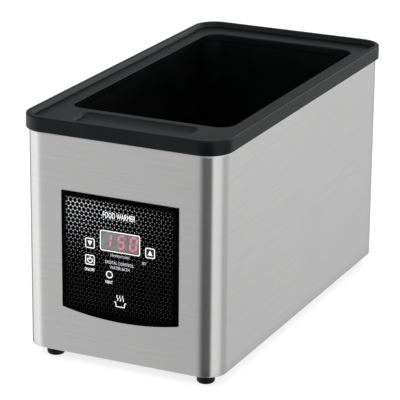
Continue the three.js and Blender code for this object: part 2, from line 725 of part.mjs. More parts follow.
for (const [name, [x, z]] of Object.entries(KEYS)) {
  const key = new THREE.Group();
  key.position.set(x, 0, z);
  add(key, `key_${name}`, makeKeyCap(), "printedFilm");
  add(key, `plunger_${name}`, uprightPin(0, 0, PLUNGER_RADIUS, KEY_BACK + GAP, PLUNGER_END), "blackPlastic");
  const body = add(key, `switch_${name}`, box(6, SWITCH_DEPTH, 6), "plainSteel");
  body.position.y = SWITCH_FRONT + SWITCH_DEPTH / 2;
  controls.add(key);
}

const boardBack = BOARD_FRONT + BOARD_THICK + GAP;
const relay = add(controls, "heater_relay", box(19, 15, 15), "blackPlastic");
relay.position.set(-26, boardBack + 7.5, 100);
const transformer = add(controls, "control_transformer", box(28, 22, 24), "brass");
transformer.position.set(20, boardBack + 11, 122);
const terminals = add(controls, "terminal_block", box(40, 16, 14), "whiteLead");
terminals.position.set(0, -170, BASE_TOP + GAP + 7);

// ---------- supply ----------

// Recessed appliance inlet: flange outside the case, cup through the cut-out, floor slotted for pins.
function inletOutline(grow, kind) {
  const halfX = INLET.width / 2 + grow;
  const halfZ = INLET.height / 2 + grow;
  const path = new kind();
  path.moveTo(-halfX, -halfZ);
  path.lineTo(halfX, -halfZ);
  path.lineTo(halfX, halfZ - INLET.chamfer);
  path.lineTo(halfX - INLET.chamfer, halfZ);
  path.lineTo(-halfX + INLET.chamfer, halfZ);
  path.lineTo(-halfX, halfZ - INLET.chamfer);
  path.closePath();
  return path;
}

const PINS = {
  neutral: [PIN.pitch, -PIN.offset],
  line: [-PIN.pitch, -PIN.offset],
  earth: [0, PIN.offset],
};

function makeInlet() {
  const { width, height, radius, thick, screwX, bore, boreDepth } = INLET_FLANGE;
  const flange = roundedRectangle(0, 0, width, height, radius);
  for (const [, sign] of SIDES) flange.holes.push(circle(sign * screwX, 0, SCREW.hole, THREE.Path));
  const cup = inletOutline(INLET.wall, THREE.Shape);
  const cavity = solid(upright(inletOutline(0, THREE.Shape), INLET_FLOOR, INLET_FACE + 1));
  const slots = Object.values(PINS).map(([x, z]) => {
    const slot = box(PIN.wide + 2 * GAP, 8, PIN.high + 2 * GAP);
    return solid(slot.translate(x, INLET_FLOOR, z));
  });
  const bores = SIDES.map(([, sign]) =>
    solid(uprightPin(sign * screwX, 0, bore, INLET_FACE - boreDepth, INLET_FACE + 1)),
  );
  const body = joined(
    solid(upright(flange, INLET_FACE - thick, INLET_FACE)),
    solid(upright(cup, INLET_FLOOR - INLET.wall, INLET_FACE)),
  );
  return geometryOf(without(body, cavity, ...slots, ...bores));
}

const supply = new THREE.Group();
const inlet = new THREE.Group();
inlet.position.set(INLET.x, 0, INLET.z);
add(inlet, "inlet_shell", makeInlet(), "blackPlastic");
const pinTip = INLET_FACE - PIN.recess;
for (const [name, [x, z]] of Object.entries(PINS)) {
  const pin = add(inlet, `inlet_pin_${name}`, box(PIN.wide, PIN.length, PIN.high), "brass");
  pin.position.set(x, pinTip - PIN.length / 2, z);
}
for (const [name, sign] of SIDES) {
  const inletScrew = add(inlet, `inlet_screw_${name}`, screw(6, 2.8, 1.2), "plainSteel");
  inletScrew.rotation.x = Math.PI / 2;
  inletScrew.position.set(sign * INLET_FLANGE.screwX, INLET_FACE - INLET_FLANGE.boreDepth + GAP, 0);
}
supply.add(inlet);
const plateShape = roundedRectangle(48, 52, 62, 38, 2);
add(supply, "rating_plate", upright(plateShape, BACK + GAP, BACK + GAP + 0.5), "aluminium");

// Leads inside the case, in straight runs with small bends
const LEAD_RADIUS = 1.4;
const pinTail = pinTip - PIN.length - GAP;
const sideX = 88;
const lowZ = 22;
const [endX, endY] = ELEMENT_END;
const blockTop = BASE_TOP + 2 * GAP + 14;
const LEADS = {
  lead_line: [
    "blackLead",
    [
      [INLET.x - PIN.pitch, pinTail, INLET.z - PIN.offset],
      [INLET.x - PIN.pitch, pinTail - 6, INLET.z - PIN.offset],
      [-sideX, pinTail - 6, INLET.z - PIN.offset],
      [-sideX, pinTail - 6, lowZ],
      [-sideX, -165, lowZ],
      [-20 - GAP, -165, lowZ],
    ],
  ],
  lead_neutral: [
    "whiteLead",
    [
      [INLET.x + PIN.pitch, pinTail, INLET.z - PIN.offset],
      [INLET.x + PIN.pitch, pinTail - 6, INLET.z - PIN.offset],
      [sideX, pinTail - 6, INLET.z - PIN.offset],
      [sideX, pinTail - 6, lowZ],
      [sideX, -165, lowZ],
      [20 + GAP, -165, lowZ],
    ],
  ],
  lead_earth: [
    "greenLead",
    [
      [INLET.x, pinTail, INLET.z + PIN.offset],
      [INLET.x, pinTail - 6, INLET.z + PIN.offset],
      [INLET.x, pinTail - 6, BASE_TOP + GAP],
    ],
  ],
  lead_heater_line: [
    "redLead",
    [
      [-endX, -166, blockTop],
      [-endX, -166, ELEMENT_Z],
      [-endX, endY - GAP, ELEMENT_Z],
    ],
  ],
  lead_heater_neutral: [
    "redLead",
    [
      [endX, -166, blockTop],
      [endX, -166, ELEMENT_Z],
      [endX, endY - GAP, ELEMENT_Z],
    ],
  ],
  lead_probe: [
    "whiteLead",
    [
      [0, OPENING.centreY - 2.4 - GAP, probeLow + 0.5],
      [0, -156, probeLow + 0.5],
      [0, -156, 92],
      [0, boardBack, 92],
    ],
  ],
};
for (const [name, [finish, corners]] of Object.entries(LEADS)) {
  add(supply, name, bentTube(corners, LEAD_RADIUS, 4, 6), finish);
}

const foodWarmer = new THREE.Group();
foodWarmer.add(caseGroup, heating, controls, supply);

export default foodWarmer;
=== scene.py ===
import math

import bmesh
import bpy
import numpy as np
from mathutils import Euler, Matrix, Vector


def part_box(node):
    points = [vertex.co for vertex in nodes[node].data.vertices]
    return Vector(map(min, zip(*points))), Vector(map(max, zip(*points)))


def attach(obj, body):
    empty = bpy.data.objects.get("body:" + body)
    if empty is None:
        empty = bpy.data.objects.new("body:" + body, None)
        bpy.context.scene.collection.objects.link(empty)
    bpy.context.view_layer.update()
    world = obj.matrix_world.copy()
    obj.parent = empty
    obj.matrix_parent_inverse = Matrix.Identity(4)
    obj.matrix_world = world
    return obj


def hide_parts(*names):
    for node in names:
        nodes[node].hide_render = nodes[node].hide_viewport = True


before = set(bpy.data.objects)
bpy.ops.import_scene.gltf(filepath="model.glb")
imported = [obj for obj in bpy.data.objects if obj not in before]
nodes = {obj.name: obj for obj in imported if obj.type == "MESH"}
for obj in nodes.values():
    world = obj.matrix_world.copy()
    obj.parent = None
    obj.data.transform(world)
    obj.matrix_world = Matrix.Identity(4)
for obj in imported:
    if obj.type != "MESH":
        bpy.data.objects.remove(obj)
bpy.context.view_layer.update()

# ---------- feet ----------
# Four turned rubber feet stand the case off the counter. Each is moulded in black rubber with a
# rounded tread and a deep recess, and one screw holds it up against the base plate.

MM = 0.001
CORNERS = ("front_left", "front_right", "rear_left", "rear_right")


def middle_of(node):
    """The middle of a node's box: half the sum of its low and high corners, as x, y and z."""
    return [(low + high) / 2 for low, high in zip(*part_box(node))]


def mesh_of(name, vertices, faces, sharp):
    """A new object at the origin from its vertices and faces, smooth up to sharp degrees."""
    mesh = bpy.data.meshes.new(name)
    mesh.from_pydata(vertices, [], faces)
    mesh.polygons.foreach_set("use_smooth", np.ones(len(mesh.polygons), bool))
    mesh.set_sharp_from_angle(angle=math.radians(sharp))
    piece = bpy.data.objects.new(name, mesh)
    bpy.context.scene.collection.objects.link(piece)
    return piece


def surface(name, points, ring=True, tube=False, keep=None, coords=None, sharp=32):
    """A mesh over points[i, j]: each quad joins a point to the next one along i and along j. ring
    closes i and tube closes j, keep[i, j] says which quads stay, and coords gives the place of each
    point on the flat sheet, in metres. Points that coincide are merged, so a column that shrinks to
    one point is a closed pole. Seen from outside, i runs clockwise round the piece and j climbs."""
    rows, columns = points.shape[:2]
    i, j = np.meshgrid(
        np.arange(rows if ring else rows - 1),
        np.arange(columns if tube else columns - 1),
        indexing="ij",
    )
    after_i, after_j = (i + 1) % rows, (j + 1) % columns
    here, beside = i * columns, after_i * columns
    quads = np.stack([here + j, here + after_j, beside + after_j, beside + j], axis=-1)
    quads = quads[keep] if keep is not None else quads.reshape(-1, 4)
    piece = mesh_of(name, points.reshape(-1, 3).tolist(), quads.tolist(), sharp)
    if coords is not None:
        layer = piece.data.uv_layers.new(name="sheet")
        corner = np.zeros(len(piece.data.loops), np.int32)
        piece.data.loops.foreach_get("vertex_index", corner)
        layer.data.foreach_set("uv", coords.reshape(-1, 2)[corner].astype(np.float32).ravel())
    work = bmesh.new()
    work.from_mesh(piece.data)
    bmesh.ops.remove_doubles(work, verts=work.verts, dist=1e-6)
    loose = [v for v in work.verts if not v.link_faces]
    bmesh.ops.delete(work, geom=loose, context="VERTS")
    work.to_mesh(piece.data)
    work.free()
    return piece


def turned(profile, steps=48):
    """A profile of (radius, height) turned round Z: x = r sin t, y = r cos t, for t once round."""
    radius, height = np.array(profile, float).T
    t = np.linspace(0, 2 * np.pi, steps, endpoint=False)[:, None]
    return np.stack([radius * np.sin(t), radius * np.cos(t), height + 0 * t], axis=-1)


def rounded(x, z, radius, start, end, steps=5):
    """Points on an arc about (x, z), from start to end degrees."""
    t = np.radians(np.linspace(start, end, steps + 1))
    return np.stack([x + radius * np.cos(t), z + radius * np.sin(t)], axis=-1).tolist()


class Wire:
    """A number that varies over a surface: + - * / with wires or numbers adds Math nodes."""

    def __init__(self, finish, socket):
        self.finish, self.socket = finish, socket

    def maths(self, operation, *inputs):
        """A Math node of the named operation on the inputs, in their order."""
        return self.finish.node("ShaderNodeMath", {"operation": operation}, dict(enumerate(inputs)))

    def __add__(self, other):
        return self.maths("ADD", self, other)

    def __sub__(self, other):
        return self.maths("SUBTRACT", self, other)

    def __rsub__(self, other):
        return self.maths("SUBTRACT", other, self)

    def __mul__(self, other):
        return self.maths("MULTIPLY", self, other)

    def __truediv__(self, other):
        return self.maths("DIVIDE", self, other)

    __radd__, __rmul__ = __add__, __mul__

    def fade(self, low, high):
        """0 before low, 1 past high, and a smooth step between them."""
        settings = {"interpolation_type": "SMOOTHSTEP"}
        return self.finish.node(
            "ShaderNodeMapRange", settings, {"Value": self, "From Min": low, "From Max": high}
        )


def tint(red, green, blue):
    """A colour given from 0 to 255 as a screen shows it, as the linear colour a shader takes."""
    part = np.array([red, green, blue]) / 255
    linear = np.where(part <= 0.04045, part / 12.92, ((part + 0.055) / 1.055) ** 2.4)
    return (*linear.tolist(), 1.0)


class Finish:
    """A material as it is mixed: its nodes, and the shader whose fixed values are given by name."""

    def __init__(self, name, **fixed):
        self.material = bpy.data.materials.new(name)
        self.material.use_nodes = True
        self.tree = self.material.node_tree
        self.shader = self.tree.nodes["Principled BSDF"]
        for key, value in fixed.items():
            self.shader.inputs[key.replace("_", " ")].default_value = value
        self.point = self.node("ShaderNodeTexCoord", out="Object")

    def node(self, kind, settings=None, sockets=None, out=0):
        """A node of this kind: its settings come first, then its sockets' values or links."""
        made = self.tree.nodes.new(kind)
        for key, value in (settings or {}).items():
            if key == "stops":
                ramp = made.color_ramp
                ramp.elements.remove(ramp.elements[1])
                for k, (place, colour) in enumerate(value):
                    stop = ramp.elements.new(place) if k else ramp.elements[0]
                    stop.position, stop.color = place, colour
            else:
                setattr(made, key, value)
        for key, value in (sockets or {}).items():
            self.join(made.inputs[key], value)
        return Wire(self, made.outputs[out])

    def join(self, socket, value):
        """Links a wire to a socket, or sets the socket to a plain value."""
        if isinstance(value, Wire):
            self.tree.links.new(value.socket, socket)
        else:
            socket.default_value = value

    def noise(self, size, detail=2.0, stretch=(1, 1, 1), vector=None):
        """Soft random spots about size metres across, drawn out by stretch along each axis."""
        scale = tuple(1 / s for s in stretch)
        place = self.node("ShaderNodeMapping", {}, {"Vector": vector or self.point, "Scale": scale})
        sockets = {"Vector": place, "Scale": 1 / size, "Detail": detail}
        return self.node("ShaderNodeTexNoise", {}, sockets)

    def blend(self, mask, first, second):
        """The first colour where mask is 0 and the second where it is 1."""
        return self.node("ShaderNodeMix", {"data_type": "RGBA"}, {0: mask, 6: first, 7: second}, 2)

    def relief(self, height, depth):
        """The surface's normal where height, from 0 to 1, stands depth metres proud."""
        return self.node("ShaderNodeBump", {}, {"Height": height, "Distance": depth})

    def ready(self, **varying):
        """Joins what varies over the surface to the shader, and gives the finished material."""
        for key, value in varying.items():
            self.join(self.shader.inputs[key.replace("_", " ")], value)
        return self.material


def dress(material, *pieces):
    """Puts the material on new pieces, and on nodes given by name."""
    for piece in pieces:
        if isinstance(piece, str):
            for holder in nodes[piece].material_slots:
                holder.material = material
        else:
            piece.data.materials.clear()
            piece.data.materials.append(material)


def fitted(piece, body, slot, *stands_for):
    """Tells the frame what the piece rides on, and hides the plain nodes it stands for. slot, the
    finish, is not used.
    """
    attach(piece, body)
    if stands_for:
        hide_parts(*stands_for)
    return piece


def moulded(name, dark, light, rough, grain, depth, patch=0.03, **fixed):
    """Moulded plastic or rubber: a fine grain in the skin, and slow drifts in colour and gloss."""
    skin = Finish(name, **fixed)
    drift = skin.noise(patch, 3)
    pits = skin.noise(grain, 1)
    return skin.ready(
        Base_Color=skin.blend(drift.fade(0.3, 0.7), dark, light),
        Roughness=rough + (drift - 0.5) * 0.12 + (pits - 0.5) * 0.1,
        Normal=skin.relief(pits, depth),
    )


FOOT_RADIUS = 8.6 * MM
FOOT_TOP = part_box("foot_front_left")[1].z
TREAD_ROUND = 2.2 * MM
TREAD_INSET = 0.3 * MM
TOP_ROUND = 0.7 * MM
SCREW_HOLE = 2.0 * MM
RECESS_TOP = 6.1 * MM
foot_profile = (
    [(SCREW_HOLE, RECESS_TOP), (3.0 * MM, RECESS_TOP), (3.2 * MM, 5.9 * MM), (3.4 * MM, 0.4 * MM)]
    + [(3.8 * MM, 0.0)]
    + rounded(FOOT_RADIUS - TREAD_INSET - TREAD_ROUND, TREAD_ROUND, TREAD_ROUND, -90, 0)
    + [(FOOT_RADIUS, 7 * MM)]
    + rounded(FOOT_RADIUS - TOP_ROUND, FOOT_TOP - TOP_ROUND, TOP_ROUND, 0, 90, 4)
    + [(SCREW_HOLE, FOOT_TOP), (SCREW_HOLE, RECESS_TOP)]
)
rubber = moulded(
    "foot_rubber", tint(6, 6, 7), tint(13, 13, 14), 0.5, 0.5 * MM, 0.03 * MM, Specular_IOR_Level=0.2
)
for corner in CORNERS:
    x, y, _ = middle_of(f"foot_{corner}")
    foot = surface(f"rubber_foot_{corner}", turned(foot_profile) + [x, y, 0])
    dress(rubber, foot)
    fitted(foot, "case", "rubber", f"foot_{corner}")

# ---------- base plate and screws ----------
# A pressed steel plate with cooling slots closes the case from below, on the flange of the wrap.
# Pan-head screws hold it, the feet and the rim, and a strip backs the seam from inside.


def bare_metal(name, dark, light, rough, metal=1.0, size=0.004, stretch=(1, 1, 1)):
    """Metal as it left the mill or the tool: fine drawn-out marks in its colour and its gloss."""
    skin = Finish(name, Metallic=metal)
    marks = skin.noise(size, 4, stretch)
    cloud = skin.noise(0.05, 2)
    return skin.ready(
        Base_Color=skin.blend(marks.fade(0.25, 0.75), dark, light),
        Roughness=rough + (marks - 0.5) * 0.16 + (cloud - 0.5) * 0.1,
        Normal=skin.relief(marks, 0.01 * MM),
    )


plate_steel = bare_metal(
    "plate_steel", tint(150, 152, 154), tint(188, 190, 192), 0.38, stretch=(1, 6, 1)
)
screw_steel = bare_metal("screw_steel", tint(150, 148, 142), tint(205, 203, 196), 0.3, size=0.0012)
dress(plate_steel, "base_plate", "seam_strip", "switch_down", "switch_power", "switch_up")
for corner in CORNERS:
    dress(screw_steel, f"foot_screw_{corner}", f"base_screw_{corner}", f"rim_screw_{corner}")

# ---------- water well ----------
# A deep-drawn pan with drafted walls, rounded corners and a flat flange, coated black inside.
# The flange sits on the tabs of the wrap, under the rim, with a silicone gasket between.


def outline(half_x, half_y, radius, centre_y=0.0, corner=14, across=40, along=60, gap=0.0, cuts=()):
    """A rounded rectangle seen from above, clockwise from the middle of its back edge: straight
    runs, and quarter circles about the corners' centres. Returns the points and their outward
    directions. gap leaves a slit in the back edge, and cuts adds points at those x on the front and
    back edges."""
    cx, cy = half_x - radius, half_y - radius
    turn = np.radians(np.linspace(0, 90, corner + 1))
    reach = np.unique(np.concatenate([np.linspace(-cx, cx, across + 1), np.array(cuts, float)]))
    back = np.unique(np.concatenate([reach[reach > gap / 2], [gap / 2]]))
    side = np.linspace(cy, -cy, along + 1)[1:-1]

    def arc(x, y, first):
        angle = first - turn
        out = np.stack([np.cos(angle), np.sin(angle)], axis=-1)
        return np.array([x, y]) + radius * out, out

    def run(x, y, out):
        points = np.stack(np.broadcast_arrays(x, y), axis=-1).astype(float)
        return points, np.broadcast_to(out, points.shape)

    parts = [
        run(back[back < cx - 1e-9], half_y, (0, 1)),
        arc(cx, cy, np.pi / 2),
        run(half_x, side, (1, 0)),
        arc(cx, -cy, 0),
        run(reach[1:-1][::-1], -half_y, (0, -1)),
        arc(-cx, -cy, -np.pi / 2),
        run(-half_x, side[::-1], (-1, 0)),
        arc(-cx, cy, np.pi),
        run(-back[(back < cx - 1e-9) & (back > (0 if gap else 1e-9))][::-1], half_y, (0, 1)),
    ]
    points, outward = (np.concatenate([p[k] for p in parts]) for k in (0, 1))
    return points + [0, centre_y], outward


def swept(points, outward, profile):
    """A profile of (offset, height) carried round an outline: each point moves out by offset."""
    offset, height = np.array(profile, float).T
    plan = points[:, None, :] + outward[:, None, :] * offset[None, :, None]
    up = np.broadcast_to(height[None, :, None], (*plan.shape[:2], 1))
    return np.concatenate([plan, up], axis=2)


# half width, half length, corner radius and the middle's y
OPENING = (80.9 * MM, 152.15 * MM, 15 * MM, 13.95 * MM)
WALL = 2 * MM
WELL_FLOOR = 62 * MM
FLOOR_ROUND = 12 * MM
FLANGE_REACH = 10 * MM
FLANGE_BEVEL = 0.6 * MM
well_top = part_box("water_well")[1].z
brim = 2.5 * MM
brim_round = 2.6 * MM
wall_tall = well_top - brim_round - WELL_FLOOR - FLOOR_ROUND
flange_edge = brim + WALL + FLANGE_REACH
inside = (
    [(flange_edge, well_top)]
    + rounded(brim + brim_round, well_top - brim_round, brim_round, 90, 180, 6)
    + [(brim * (1 - k), well_top - brim_round - k * wall_tall) for k in (0.25, 0.5, 0.75)]
    + rounded(-FLOOR_ROUND, WELL_FLOOR + FLOOR_ROUND, FLOOR_ROUND, 0, -90, 10)
)
outside = (
    rounded(-FLOOR_ROUND, WELL_FLOOR + FLOOR_ROUND, FLOOR_ROUND + WALL, -90, 0, 10)
    + [(brim + WALL, well_top - WALL - FLANGE_BEVEL)]
    + [(brim + WALL + FLANGE_BEVEL, well_top - WALL), (flange_edge, well_top - WALL)]
)
well_outline = outline(*OPENING, corner=16, across=24, along=40)
wall_out, wall_in = swept(*well_outline, outside), swept(*well_outline, inside)
centre = np.array([0, OPENING[3], 0])


def floor_to_pole(rim_points, height):
    """Eight loops that shrink evenly from the rim of a floor to its centre, which is one point."""
    share = np.linspace(1, 0, 9)[1:, None]
    middle = centre + [0, 0, height]
    return middle + (rim_points[:, None, :] - middle) * share


under = floor_to_pole(wall_out[:, 0], WELL_FLOOR - WALL)[:, ::-1]
over = floor_to_pole(wall_in[:, -1], WELL_FLOOR)
well = surface("coated_well", np.concatenate([under, wall_out, wall_in, over], axis=1))

coating = Finish("well_coating", Specular_IOR_Level=0.3)
peel = coating.noise(0.0016, 2)
stain = coating.noise(0.045, 4, (1, 1, 0.6))
height_up = coating.node("ShaderNodeSeparateXYZ", {}, {"Vector": coating.point}, 2)
waterline = height_up.fade(150 * MM, 158 * MM) * (1 - height_up.fade(160 * MM, 168 * MM))
dress(
    coating.ready(
        Base_Color=coating.blend(stain.fade(0.35, 0.75), tint(2, 3, 3), tint(5, 6, 6)),
        Roughness=0.34 + (stain - 0.5) * 0.2 + waterline * 0.05,
        Normal=coating.relief(peel, 0.02 * MM),
    ),
    well,
)
fitted(well, "case", "well_coating", "water_well")

gasket = moulded("gasket_silicone", tint(150, 62, 48), tint(170, 78, 60), 0.5, 0.4 * MM, 0.01 * MM)
dress(gasket, "well_gasket")

# ---------- heating, all inside the case ----------
# A serpentine sheathed element is clamped under the well by an aluminium plate, over a heat shield
# and a pad. Glass wool wraps the walls, and a probe and a high-limit thermostat touch the floor.

wool = Finish("glass_wool")
fibre = wool.noise(0.0012, 6, (8, 1, 8))
clump = wool.noise(0.012, 4)
dress(
    wool.ready(
        Base_Color=wool.blend(fibre * 0.6 + clump * 0.4, tint(196, 182, 120), tint(238, 230, 190)),
        Roughness=0.9 + (fibre - 0.5) * 0.1,
        Normal=wool.relief(fibre * 0.7 + clump * 0.3, 0.6 * MM),
    ),
    "insulation_wrap",
    "insulation_pad",
)
mill_aluminium = bare_metal(
    "mill_aluminium", tint(176, 178, 182), tint(214, 216, 220), 0.34, stretch=(5, 1, 1)
)
dress(mill_aluminium, "heat_shield", "heat_spreader_plate")
sheath = bare_metal("element_sheath", tint(96, 90, 82), tint(150, 140, 126), 0.42, size=0.006)
dress(sheath, "heating_element", "temperature_probe")

# ---------- case wrap ----------
# One sheet of 0.9 mm stainless steel, brushed lengthways and wrapped round the case. Its ends meet
# in a seam at the back, and a flange is turned in at the bottom. It has a cut-out for the controls
# and one for the inlet.

CASE = (98.6 * MM, 195.15 * MM, 20.7 * MM)  # half width, half length and corner radius
SHEET = 0.9 * MM
CASE_BOTTOM, CASE_TOP = (corner.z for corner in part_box("outer_shroud"))
FLANGE = 11.9 * MM
BEND = 0.95 * MM
SLIT = 0.4 * MM
# cut-outs, as low x, high x, low z and high z
WINDOW = (-44.4 * MM, 44.4 * MM, 85.6 * MM, 144.4 * MM)
INLET_HOLE = (-64.5 * MM, -35.5 * MM, 29.5 * MM, 50.5 * MM)
BURR = 0.3 * MM  # strip beside each cut edge where the sheet rounds over
hole_sides = np.array([WINDOW[:2], INLET_HOLE[:2]])
hole_ends = np.array([WINDOW[2:], INLET_HOLE[2:]])
cuts_x = np.concatenate([(hole_sides + shift).ravel() for shift in (-BURR, 0, BURR)])
cuts_x = [*cuts_x, -SLIT / 2 - BURR, SLIT / 2 + BURR]
cuts_z = np.concatenate([(hole_ends + shift).ravel() for shift in (-BURR, 0, BURR)])
levels = np.unique(np.concatenate([np.linspace(CASE_BOTTOM + BEND, CASE_TOP, 25), cuts_z]))
wrap_profile = (
    [(-x, CASE_BOTTOM) for x in np.linspace(FLANGE, BEND, 4)[:-1]]
    + rounded(-BEND, CASE_BOTTOM + BEND, BEND, -90, 0, 5)[:-1]
    + [(0, z) for z in levels]
)
wrap_plan, wrap_out = outline(*CASE, corner=24, across=40, along=40, gap=SLIT, cuts=cuts_x)
wrap_points = swept(wrap_plan, wrap_out, wrap_profile)
run_along = np.concatenate([[0], np.cumsum(np.linalg.norm(np.diff(wrap_plan, axis=0), axis=1))])
step_up = np.linalg.norm(np.diff(np.array(wrap_profile), axis=0), axis=1)
run_up = np.concatenate([[0], np.cumsum(step_up)])
sheet_place = np.stack(np.meshgrid(run_along, run_up, indexing="ij"), axis=-1)
quad_middle = (wrap_points[:-1, :-1] + wrap_points[1:, 1:]) / 2


def within(hole, on_front):
    """Which quads of the wrap lie in a cut-out of the front or of the back wall."""
    x, y, z = np.moveaxis(quad_middle, -1, 0)
    wall = np.isclose(y, -CASE[1] if on_front else CASE[1], atol=1e-5)
    return wall & (x > hole[0]) & (x < hole[1]) & (z > hole[2]) & (z < hole[3])


wrap = surface(
    "steel_wrap",
    wrap_points,
    ring=False,
    keep=~(within(WINDOW, True) | within(INLET_HOLE, False)),
    coords=sheet_place,
)
wall = wrap.modifiers.new("sheet", "SOLIDIFY")
wall.thickness, wall.offset = SHEET, -1

brushed = Finish("brushed_steel", Metallic=1.0, Anisotropic=0.9, Anisotropic_Rotation=0.25)
on_sheet = brushed.node("ShaderNodeUVMap", {"uv_map": "sheet"})
hairlines = brushed.noise(0.0004, 2, (120, 1, 1), on_sheet)
strokes = brushed.noise(0.0016, 2, (60, 1, 1), on_sheet)
handling = brushed.noise(0.06, 3, (1.6, 1, 1), on_sheet)
line = hairlines * 0.6 + strokes * 0.4
dress(
    brushed.ready(
        Base_Color=brushed.blend(line.fade(0.3, 0.7), tint(220, 220, 220), tint(227, 227, 226)),
        Roughness=0.24 + (line - 0.5) * 0.05 + (handling - 0.5) * 0.03,
        Normal=brushed.relief(line, 0.001 * MM),
    ),
    wrap,
)
fitted(wrap, "case", "brushed_steel", "outer_shroud")

# ---------- rim ----------
# The top is one moulding in charcoal plastic: a skirt over the wrap, a raised lip with rounded
# edges, a flat ledge for the pan's flange, a collar that hangs in the well and a finger scoop in
# front.

RIM = (101.6 * MM, 198.15 * MM, 23.7 * MM)  # half width, half length and corner radius
SKIRT_LOW, RIM_TOP = (corner.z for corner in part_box("top_rim"))
SKIRT_WALL = 2.6 * MM
EDGE = 1.6 * MM
LIP_FLAT = 4.1 * MM
LIP_FOOT = 5.8 * MM
LIP_ROUND = 0.5 * MM
LIP_FILLET = 0.6 * MM
SKIRT_ROUND = 0.5 * MM
INNER_BEVEL = 0.3 * MM
LEDGE = RIM_TOP - 5 * MM
LEDGE_UNDER = LEDGE - 3 * MM
COLLAR = 2.2 * MM
COLLAR_LOW = LEDGE - 7.6 * MM
COLLAR_ROUND = 0.5 * MM
MOUTH_ROUND = 1.2 * MM
SCOOP = (58.2 * MM, 16.5 * MM, 9 * MM, -163.5 * MM)  # half width, half length, radius, middle's y
SCOOP_DEPTH = 3 * MM
UNDER_SCOOP_DEPTH = 1.1 * MM
SCOOP_BLEND = 1.2 * MM
LEDGE_STEPS = 66
plan = {"corner": 18, "across": 190, "along": 60}
edge_line = outline(*RIM, **plan)
mouth_line = outline(*OPENING, **plan)

skirt_and_lip = swept(
    *edge_line,
    [(-SKIRT_WALL, SKIRT_LOW + INNER_BEVEL), (-SKIRT_WALL + INNER_BEVEL, SKIRT_LOW)]
    + [(-SKIRT_ROUND, SKIRT_LOW)]
    + rounded(-SKIRT_ROUND, SKIRT_LOW + SKIRT_ROUND, SKIRT_ROUND, -60, 0, 3)
    + [(0, SKIRT_LOW + 4 * MM), (0, SKIRT_LOW + 8 * MM)]
    + rounded(-EDGE, RIM_TOP - EDGE, EDGE, 0, 90, 8)
    + rounded(-LIP_FLAT, RIM_TOP - LIP_ROUND, LIP_ROUND, 90, 160, 4)
    + rounded(-LIP_FOOT + 0.25 * MM, LEDGE + LIP_FILLET, LIP_FILLET, 200, 270, 4)
    + [(-LIP_FOOT - 0.4 * MM, LEDGE)],
)
mouth_and_collar = swept(
    *mouth_line,
    [(MOUTH_ROUND + 0.6 * MM, LEDGE)]
    + rounded(MOUTH_ROUND, LEDGE - MOUTH_ROUND, MOUTH_ROUND, 90, 180, 8)
    + [(0, COLLAR_LOW + COLLAR_ROUND), (COLLAR_ROUND, COLLAR_LOW)]
    + [(COLLAR - COLLAR_ROUND, COLLAR_LOW), (COLLAR, COLLAR_LOW + COLLAR_ROUND)]
    + [(COLLAR, LEDGE_UNDER)],
)
skirt_inside = swept(*edge_line, [(-SKIRT_WALL, LEDGE_UNDER)])


def across_ledge(start, end):
    """Loops that pass in even steps from one outline to another, without the two themselves."""
    share = np.linspace(0, 1, LEDGE_STEPS + 1)[1:-1, None]
    return start[:, None, :] * (1 - share) + end[:, None, :] * share


def scooped(points, depth, height):
    """Lowers the front of the ledge to a trough: its depth falls as the square of the distance from
    the middle line, and its ends and edges blend over SCOOP_BLEND inside a rounded rectangle."""
    half_x, half_y, radius, middle = SCOOP
    x, y = points[..., 0], points[..., 1] - middle
    beyond = np.stack([np.abs(x) - half_x + radius, np.abs(y) - half_y + radius])
    outer = np.linalg.norm(np.maximum(beyond, 0), axis=0)
    distance = radius - outer - np.minimum(np.maximum(beyond[0], beyond[1]), 0)
    share = np.clip(distance / SCOOP_BLEND, 0, 1)
    trough = np.maximum(1 - (y / (1.06 * half_y)) ** 2, 0)
    lowered = points.copy()
    lowered[..., 2] = height - depth * trough * share * share * (3 - 2 * share)
    return lowered


ledge = scooped(across_ledge(skirt_and_lip[:, -1], mouth_and_collar[:, 0]), SCOOP_DEPTH, LEDGE)
under_ledge = across_ledge(mouth_and_collar[:, -1], skirt_inside[:, 0])
under_ledge = scooped(under_ledge, UNDER_SCOOP_DEPTH, LEDGE_UNDER)
rim = surface(
    "moulded_rim",
    np.concatenate([skirt_and_lip, ledge, mouth_and_collar, under_ledge, skirt_inside], axis=1),
    tube=True,
    sharp=40,
)
rim_skin = moulded(
    "rim_plastic",
    tint(6, 8, 9),
    tint(12, 14, 16),
    0.33,
    0.7 * MM,
    0.008 * MM,
    0.05,
    Specular_IOR_Level=0.24,
    Specular_Tint=(0.9, 0.98, 1.0, 1.0),
)
dress(rim_skin, rim)
fitted(rim, "case", "charcoal_plastic", "top_rim")

# ---------- control housing and electronics ----------
# A moulded tray behind the window carries the board with its three switches, the display module and
# the lamp. Relay, transformer and terminal block stand behind it, and leads run to the inlet.

housing_black = moulded(
    "housing_plastic", tint(20, 20, 21), tint(30, 30, 32), 0.5, 0.6 * MM, 0.01 * MM
)
dress(
    housing_black,
    "control_housing",
    "heater_relay",
    "display_module",
    "high_limit_thermostat",
    "plunger_down",
    "plunger_power",
    "plunger_up",
)

TRACKS_A_METRE = 420
board = Finish("circuit_board", Coat_Weight=0.3)
grid = board.node(
    "ShaderNodeMapping", {}, {"Vector": board.point, "Scale": (TRACKS_A_METRE,) * 3}
)
tracks = board.node(
    "ShaderNodeTexBrick", {}, {"Vector": grid, "Scale": 1.0, "Mortar Size": 0.06}, 1
)
weave = board.noise(0.0009, 1)
dress(
    board.ready(
        Base_Color=board.blend(tracks, tint(18, 74, 42), tint(60, 124, 74)),
        Roughness=0.4 + (weave - 0.5) * 0.2,
        Normal=board.relief(tracks, 0.03 * MM),
    ),
    "control_board",
)

